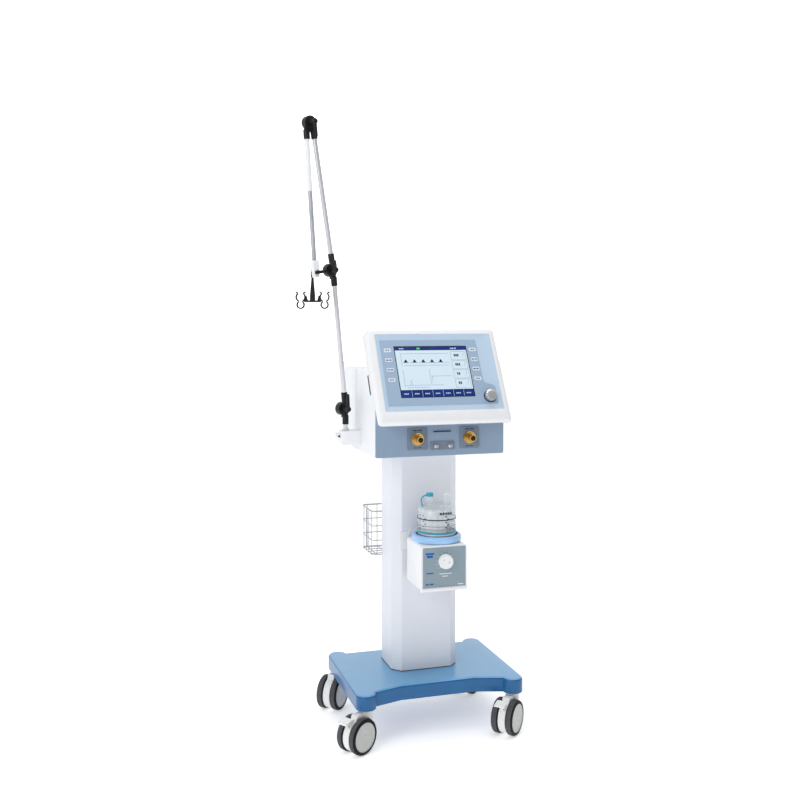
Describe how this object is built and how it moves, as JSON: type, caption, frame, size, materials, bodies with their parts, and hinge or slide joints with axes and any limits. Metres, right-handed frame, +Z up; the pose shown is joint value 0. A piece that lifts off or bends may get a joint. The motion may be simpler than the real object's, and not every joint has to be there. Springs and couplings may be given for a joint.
{
  "type": "mechanical ventilator",
  "caption": "Hospital ventilator with tilted touch console on an octagonal column and four-caster trolley, heated humidifier, wire basket and folding hose arm",
  "frame": {"origin": "on the floor under the middle of the bounding box", "axes": "+Z up, display faces -Y, +X to the right of the display"},
  "size_m": [0.729, 0.5341, 2.0229],
  "materials": {
    "aluminium": "satin tube",
    "brass": "turned",
    "chrome": "polished",
    "clear_plastic": "clear moulded plastic",
    "dark_plastic": "fine texture",
    "grey_blue_plastic": "satin",
    "key_blue": "satin",
    "knob_silver": "satin silver",
    "neck_grey": "ribbed metal hose",
    "overlay_blue": "satin film",
    "ring_blue": "smooth",
    "screen_glass": "glossy display",
    "shell_blue": "smooth, top face lighter",
    "tyre_dark": "matt tread on grey hub",
    "white_paint": "satin powder coat",
    "white_plastic": "fine satin",
    "wire_grey": "coated wire"
  },
  "bodies": {
    "trolley": {"base_shell": "shell_blue", "caster_stems": "chrome", "column": "white_paint", "console_case": "white_paint", "connection_panel": "grey_blue_plastic", "gas_ports": "brass", "pressure_ports": "chrome", "display_housing": "white_plastic", "keypad_overlay": "overlay_blue", "screen": "screen_glass", "power_inlet": "dark_plastic", "oxygen_inlet": "chrome", "basket_wires": "wire_grey", "arm_clamp": "white_plastic", "humidifier_bracket": "white_paint", "humidifier_housing": "white_plastic", "humidifier_panel": "grey_blue_plastic", "heater_plate": "aluminium", "guard_ring": "ring_blue"},
    "caster_fl": {"caster_fl_fork": "white_plastic"},
    "caster_fl_wheel_a_body": {"caster_fl_wheel_a": "tyre_dark"},
    "caster_fl_wheel_b_body": {"caster_fl_wheel_b": "tyre_dark"},
    "caster_fl_brake": {"caster_fl_pedal": "white_plastic"},
    "caster_fr": {"caster_fr_fork": "white_plastic"},
    "caster_fr_wheel_a_body": {"caster_fr_wheel_a": "tyre_dark"},
    "caster_fr_wheel_b_body": {"caster_fr_wheel_b": "tyre_dark"},
    "caster_fr_brake": {"caster_fr_pedal": "white_plastic"},
    "caster_bl": {"caster_bl_fork": "white_plastic"},
    "caster_bl_wheel_a_body": {"caster_bl_wheel_a": "tyre_dark"},
    "caster_bl_wheel_b_body": {"caster_bl_wheel_b": "tyre_dark"},
    "caster_br": {"caster_br_fork": "white_plastic"},
    "caster_br_wheel_a_body": {"caster_br_wheel_a": "tyre_dark"},
    "caster_br_wheel_b_body": {"caster_br_wheel_b": "tyre_dark"},
    "key_left_1_body": {"key_left_1": "key_blue"},
    "key_left_2_body": {"key_left_2": "key_blue"},
    "key_left_3_body": {"key_left_3": "key_blue"},
    "key_left_4_body": {"key_left_4": "key_blue"},
    "key_right_1_body": {"key_right_1": "key_blue"},
    "key_right_2_body": {"key_right_2": "key_blue"},
    "key_right_3_body": {"key_right_3": "key_blue"},
    "key_right_4_body": {"key_right_4": "key_blue"},
    "encoder_push_body": {"encoder_shaft": "dark_plastic"},
    "encoder_turn_body": {"encoder_knob": "knob_silver"},
    "mains_switch_body": {"mains_switch": "dark_plastic"},
    "arm_post_body": {"arm_post": "dark_plastic"},
    "arm_lower": {"arm_lower_joints": "dark_plastic", "arm_lower_rod": "aluminium"},
    "arm_upper": {"arm_upper_joints": "dark_plastic", "arm_upper_rod": "aluminium", "parking_clip": "dark_plastic"},
    "arm_drop": {"arm_drop_joint": "dark_plastic", "gooseneck_upper": "neck_grey"},
    "neck_low": {"gooseneck_lower": "neck_grey", "neck_sleeve": "white_plastic"},
    "hook": {"tube_hook": "dark_plastic"},
    "lever_lower_body": {"lever_lower": "dark_plastic"},
    "lever_middle_body": {"lever_middle": "dark_plastic"},
    "lever_top_body": {"lever_top": "dark_plastic"},
    "humidifier_knob_body": {"humidifier_knob": "white_plastic"},
    "chamber_body": {"water_chamber": "clear_plastic"}
  },
  "joints": [
    {"name": "caster_fl_swivel", "type": "hinge", "parent": "trolley", "child": "caster_fl", "pos_m": [-0.175, -0.175, 0.1345], "axis": [0, 0, 1], "continuous": true},
    {"name": "caster_fl_wheel_a_spin", "type": "hinge", "parent": "caster_fl", "child": "caster_fl_wheel_a_body", "pos_m": [-0.21022, -0.19787, 0.057], "axis": [-0.5446, 0.8387, 0], "continuous": true},
    {"name": "caster_fl_wheel_b_spin", "type": "hinge", "parent": "caster_fl", "child": "caster_fl_wheel_b_body", "pos_m": [-0.21022, -0.19787, 0.057], "axis": [-0.5446, 0.8387, 0], "continuous": true},
    {"name": "caster_fl_brake_press", "type": "hinge", "parent": "caster_fl", "child": "caster_fl_brake", "pos_m": [-0.24713, -0.22184, 0.1045], "axis": [0.5446, -0.8387, 0], "range_deg": [0, 14]},
    {"name": "caster_fr_swivel", "type": "hinge", "parent": "trolley", "child": "caster_fr", "pos_m": [0.331, -0.175, 0.1345], "axis": [0, 0, 1], "continuous": true},
    {"name": "caster_fr_wheel_a_spin", "type": "hinge", "parent": "caster_fr", "child": "caster_fr_wheel_a_body", "pos_m": [0.30079, -0.20418, 0.057], "axis": [-0.6947, 0.7193, 0], "continuous": true},
    {"name": "caster_fr_wheel_b_spin", "type": "hinge", "parent": "caster_fr", "child": "caster_fr_wheel_b_body", "pos_m": [0.30079, -0.20418, 0.057], "axis": [-0.6947, 0.7193, 0], "continuous": true},
    {"name": "caster_fr_brake_press", "type": "hinge", "parent": "caster_fr", "child": "caster_fr_brake", "pos_m": [0.26914, -0.23474, 0.1045], "axis": [0.6947, -0.7193, 0], "range_deg": [0, 14]},
    {"name": "caster_bl_swivel", "type": "hinge", "parent": "trolley", "child": "caster_bl", "pos_m": [-0.175, 0.204, 0.1345], "axis": [0, 0, 1], "continuous": true},
    {"name": "caster_bl_wheel_a_spin", "type": "hinge", "parent": "caster_bl", "child": "caster_bl_wheel_a_body", "pos_m": [-0.202, 0.17183, 0.057], "axis": [-0.766, 0.6428, 0], "continuous": true},
    {"name": "caster_bl_wheel_b_spin", "type": "hinge", "parent": "caster_bl", "child": "caster_bl_wheel_b_body", "pos_m": [-0.202, 0.17183, 0.057], "axis": [-0.766, 0.6428, 0], "continuous": true},
    {"name": "caster_br_swivel", "type": "hinge", "parent": "trolley", "child": "caster_br", "pos_m": [0.331, 0.204, 0.1345], "axis": [0, 0, 1], "continuous": true},
    {"name": "caster_br_wheel_a_spin", "type": "hinge", "parent": "caster_br", "child": "caster_br_wheel_a_body", "pos_m": [0.3013, 0.1743, 0.057], "axis": [-0.7071, 0.7071, 0], "continuous": true},
    {"name": "caster_br_wheel_b_spin", "type": "hinge", "parent": "caster_br", "child": "caster_br_wheel_b_body", "pos_m": [0.3013, 0.1743, 0.057], "axis": [-0.7071, 0.7071, 0], "continuous": true},
    {"name": "key_left_1_press", "type": "slide", "parent": "trolley", "child": "key_left_1_body", "axis": [0, 0.8712, -0.4909], "range_m": [0, 0.0005], "stiffness_N_per_m": 1500},
    {"name": "key_left_2_press", "type": "slide", "parent": "trolley", "child": "key_left_2_body", "axis": [0, 0.8712, -0.4909], "range_m": [0, 0.0005], "stiffness_N_per_m": 1500},
    {"name": "key_left_3_press", "type": "slide", "parent": "trolley", "child": "key_left_3_body", "axis": [0, 0.8712, -0.4909], "range_m": [0, 0.0005], "stiffness_N_per_m": 1500},
    {"name": "key_left_4_press", "type": "slide", "parent": "trolley", "child": "key_left_4_body", "axis": [0, 0.8712, -0.4909], "range_m": [0, 0.0005], "stiffness_N_per_m": 1500},
    {"name": "key_right_1_press", "type": "slide", "parent": "trolley", "child": "key_right_1_body", "axis": [0, 0.8712, -0.4909], "range_m": [0, 0.0005], "stiffness_N_per_m": 1500},
    {"name": "key_right_2_press", "type": "slide", "parent": "trolley", "child": "key_right_2_body", "axis": [0, 0.8712, -0.4909], "range_m": [0, 0.0005], "stiffness_N_per_m": 1500},
    {"name": "key_right_3_press", "type": "slide", "parent": "trolley", "child": "key_right_3_body", "axis": [0, 0.8712, -0.4909], "range_m": [0, 0.0005], "stiffness_N_per_m": 1500},
    {"name": "key_right_4_press", "type": "slide", "parent": "trolley", "child": "key_right_4_body", "axis": [0, 0.8712, -0.4909], "range_m": [0, 0.0005], "stiffness_N_per_m": 1500},
    {"name": "encoder_push", "type": "slide", "parent": "trolley", "child": "encoder_push_body", "axis": [0, 0.8712, -0.4909], "range_m": [0, 0.001], "stiffness_N_per_m": 3000},
    {"name": "encoder_turn", "type": "hinge", "parent": "encoder_push_body", "child": "encoder_turn_body", "pos_m": [0.24, -0.20167, 1.12001], "axis": [0, -0.8712, 0.4909], "continuous": true},
    {"name": "mains_switch_rock", "type": "hinge", "parent": "trolley", "child": "mains_switch_body", "pos_m": [-0.003, 0.2335, 1.0285], "axis": [1, 0, 0], "range_deg": [0, 10]},
    {"name": "arm_swivel", "type": "hinge", "parent": "trolley", "child": "arm_post_body", "pos_m": [-0.189, 0.0295, 0.9715], "axis": [0, 0, 1], "range_deg": [-100, 60]},
    {"name": "arm_lower_pivot", "type": "hinge", "parent": "arm_post_body", "child": "arm_lower", "pos_m": [-0.20028, 0.0254, 1.0685], "axis": [0.342, -0.9397, 0], "range_deg": [-15, 95]},
    {"name": "arm_upper_pivot", "type": "hinge", "parent": "arm_lower", "child": "arm_upper", "pos_m": [-0.24566, 0.00888, 1.52797], "axis": [0.342, -0.9397, 0], "range_deg": [-85, 4]},
    {"name": "arm_drop_pivot", "type": "hinge", "parent": "arm_upper", "child": "arm_drop", "pos_m": [-0.32002, -0.01819, 2.00089], "axis": [0.342, -0.9397, 0], "range_deg": [-170, 0]},
    {"name": "neck_bend", "type": "hinge", "parent": "arm_drop", "child": "neck_low", "pos_m": [-0.31018, -0.01461, 1.67084], "axis": [0.342, -0.9397, 0], "range_deg": [-75, 0]},
    {"name": "hook_tilt", "type": "hinge", "parent": "neck_low", "child": "hook", "pos_m": [-0.30928, -0.01428, 1.5135], "axis": [-0.2924, -0.9563, 0], "range_deg": [-25, 12]},
    {"name": "lever_lower_turn", "type": "hinge", "parent": "arm_post_body", "child": "lever_lower_body", "pos_m": [-0.19002, -0.0028, 1.0685], "axis": [0.342, -0.9397, 0], "range_deg": [0, 90]},
    {"name": "lever_middle_turn", "type": "hinge", "parent": "arm_lower", "child": "lever_middle_body", "pos_m": [-0.23539, -0.01931, 1.52797], "axis": [0.342, -0.9397, 0], "range_deg": [0, 90]},
    {"name": "lever_top_turn", "type": "hinge", "parent": "arm_upper", "child": "lever_top_body", "pos_m": [-0.30976, -0.04638, 2.00089], "axis": [0.342, -0.9397, 0], "range_deg": [0, 90]},
    {"name": "humidifier_knob_turn", "type": "hinge", "parent": "trolley", "child": "humidifier_knob_body", "pos_m": [0.083, -0.2055, 0.5885], "axis": [0, -1, 0], "range_deg": [-210, 60]},
    {"name": "chamber_lift", "type": "slide", "parent": "trolley", "child": "chamber_body", "axis": [0, 0, 1], "range_m": [0, 0.1]}
  ]
}
